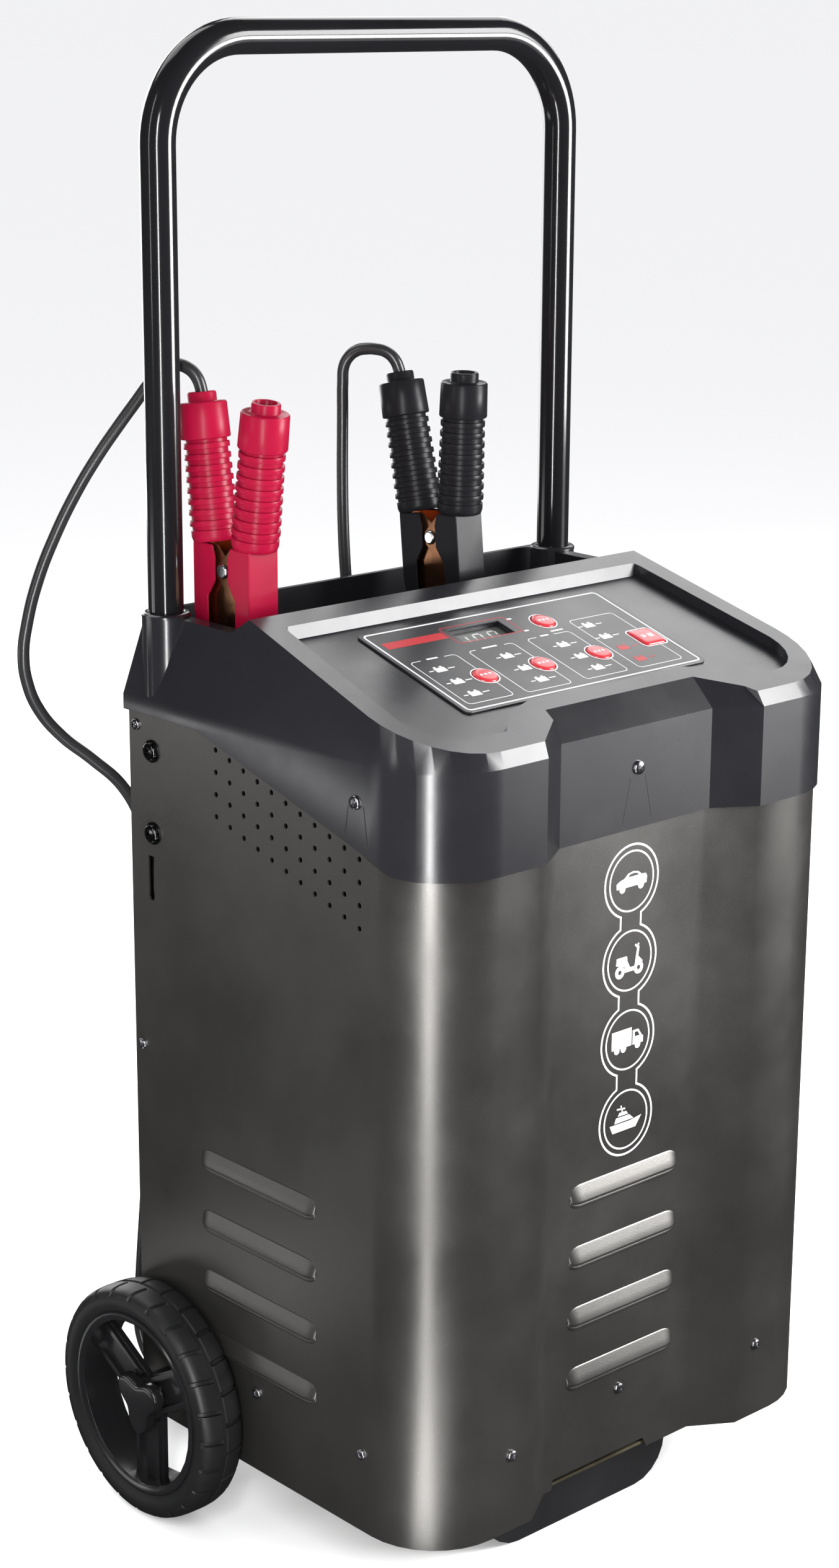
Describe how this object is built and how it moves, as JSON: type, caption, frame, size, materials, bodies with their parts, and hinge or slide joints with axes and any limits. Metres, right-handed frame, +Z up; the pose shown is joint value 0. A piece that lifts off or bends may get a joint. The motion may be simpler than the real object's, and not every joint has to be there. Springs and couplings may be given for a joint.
{
  "type": "car battery charger",
  "caption": "Wheeled car battery charger: sheet-metal body, moulded cap with a control deck, loop handle, a foot, and red and black crocodile clamps on cables.",
  "frame": {"origin": "on the floor, below the middle of the body, wheels and handle together (cables and clamps not counted)", "axes": "+X to the user's right facing the control deck, +Y to the rear, +Z up; the front faces -Y"},
  "size_m": [0.4348, 0.3907, 0.9457],
  "materials": {
    "powder_coat": "fine-textured graphite powder coat",
    "zinc_steel": "yellow-passivated zinc",
    "cap_plastic": "fine-grained dark grey moulding",
    "film": "printed polyester film",
    "key_red": "satin red",
    "board": "solder mask",
    "led": "unlit seven-segment face",
    "black_steel": "gloss black paint",
    "bright_steel": "zinc-bright",
    "black_bolt": "blackened",
    "tyre": "matt rubber",
    "rim": "satin black moulding",
    "copper": "copper plated",
    "pvc_red": "soft crimson PVC",
    "pvc_black": "soft black PVC",
    "cable_black": "smooth black sheath",
    "core": "laminated steel",
    "winding": "enamelled wire",
    "aluminium": "extruded"
  },
  "bodies": {
    "charger": {"housing_shell": "powder_coat", "rear_panel": "powder_coat", "bottom_pan": "zinc_steel", "top_cap": "cap_plastic", "control_overlay": "film", "control_board": "board", "led_display": "led", "front_foot": "black_steel", "handle_tube": "black_steel", "axle": "bright_steel", "axle_bracket_left": "black_bolt", "axle_bracket_right": "black_bolt", "handle_bolt_left_upper": "black_bolt", "handle_bolt_left_lower": "black_bolt", "handle_bolt_right_upper": "black_bolt", "handle_bolt_right_lower": "black_bolt", "push_nut_left": "bright_steel", "push_nut_right": "bright_steel", "red_clamp_fixed_jaw": "copper", "red_clamp_fixed_guard": "pvc_red", "red_clamp_fixed_grip": "pvc_red", "red_clamp_rivet": "bright_steel", "red_clamp_spring": "bright_steel", "black_clamp_fixed_jaw": "copper", "black_clamp_fixed_guard": "pvc_black", "black_clamp_fixed_grip": "pvc_black", "black_clamp_rivet": "bright_steel", "black_clamp_spring": "bright_steel", "red_cable_run": "cable_black", "red_cable_coil": "cable_black", "red_cable_rise": "cable_black", "black_cable_run": "cable_black", "black_cable_coil": "cable_black", "black_cable_rise": "cable_black", "red_cable_gland": "pvc_black", "black_cable_gland": "pvc_black", "mains_gland": "pvc_black", "transformer_core": "core", "transformer_winding": "winding", "rectifier_heat_sink": "aluminium", "fan_frame": "pvc_black"},
    "wheel_left": {"tyre_left": "tyre", "wheel_rim_left": "rim", "hub_cap_left": "rim"},
    "wheel_right": {"tyre_right": "tyre", "wheel_rim_right": "rim", "hub_cap_right": "rim"},
    "display_key": {"display_button": "key_red"},
    "current_key": {"current_button": "key_red"},
    "mode_key": {"mode_button": "key_red"},
    "type_key": {"type_button": "key_red"},
    "start_stop_key": {"start_stop_button": "key_red"},
    "fan": {"fan_rotor": "pvc_black"},
    "red_jaw": {"red_clamp_moving_jaw": "copper", "red_clamp_moving_guard": "pvc_red", "red_clamp_moving_grip": "pvc_red"},
    "black_jaw": {"black_clamp_moving_jaw": "copper", "black_clamp_moving_guard": "pvc_black", "black_clamp_moving_grip": "pvc_black"}
  },
  "joints": [
    {"name": "wheel_left_spin", "type": "hinge", "parent": "charger", "child": "wheel_left", "pos_m": [0, 0.0844, 0.078], "axis": [1, 0, 0], "continuous": true},
    {"name": "wheel_right_spin", "type": "hinge", "parent": "charger", "child": "wheel_right", "pos_m": [0, 0.0844, 0.078], "axis": [1, 0, 0], "continuous": true},
    {"name": "fan_spin", "type": "hinge", "parent": "charger", "child": "fan", "pos_m": [0, 0.1, 0.33], "axis": [0, 1, 0], "continuous": true},
    {"name": "display_press", "type": "slide", "parent": "charger", "child": "display_key", "axis": [0, 0.2847, -0.9586], "range_m": [0, 0.0012], "stiffness_N_per_m": 400, "springref_m": -0.001},
    {"name": "current_press", "type": "slide", "parent": "charger", "child": "current_key", "axis": [0, 0.2847, -0.9586], "range_m": [0, 0.0012], "stiffness_N_per_m": 400, "springref_m": -0.001},
    {"name": "mode_press", "type": "slide", "parent": "charger", "child": "mode_key", "axis": [0, 0.2847, -0.9586], "range_m": [0, 0.0012], "stiffness_N_per_m": 400, "springref_m": -0.001},
    {"name": "type_press", "type": "slide", "parent": "charger", "child": "type_key", "axis": [0, 0.2847, -0.9586], "range_m": [0, 0.0012], "stiffness_N_per_m": 400, "springref_m": -0.001},
    {"name": "start_stop_press", "type": "slide", "parent": "charger", "child": "start_stop_key", "axis": [0, 0.2847, -0.9586], "range_m": [0, 0.0012], "stiffness_N_per_m": 400, "springref_m": -0.001},
    {"name": "red_clamp_open", "type": "hinge", "parent": "charger", "child": "red_jaw", "pos_m": [-0.1375, 0.0655, 0.6205], "axis": [-1, 0, 0], "range_deg": [0, 16], "stiffness_Nm_per_rad": 1.5, "springref_deg": -17.19},
    {"name": "black_clamp_open", "type": "hinge", "parent": "charger", "child": "black_jaw", "pos_m": [0.0335, 0.0655, 0.6205], "axis": [-1, 0, 0], "range_deg": [0, 16], "stiffness_Nm_per_rad": 1.5, "springref_deg": -17.19}
  ]
}
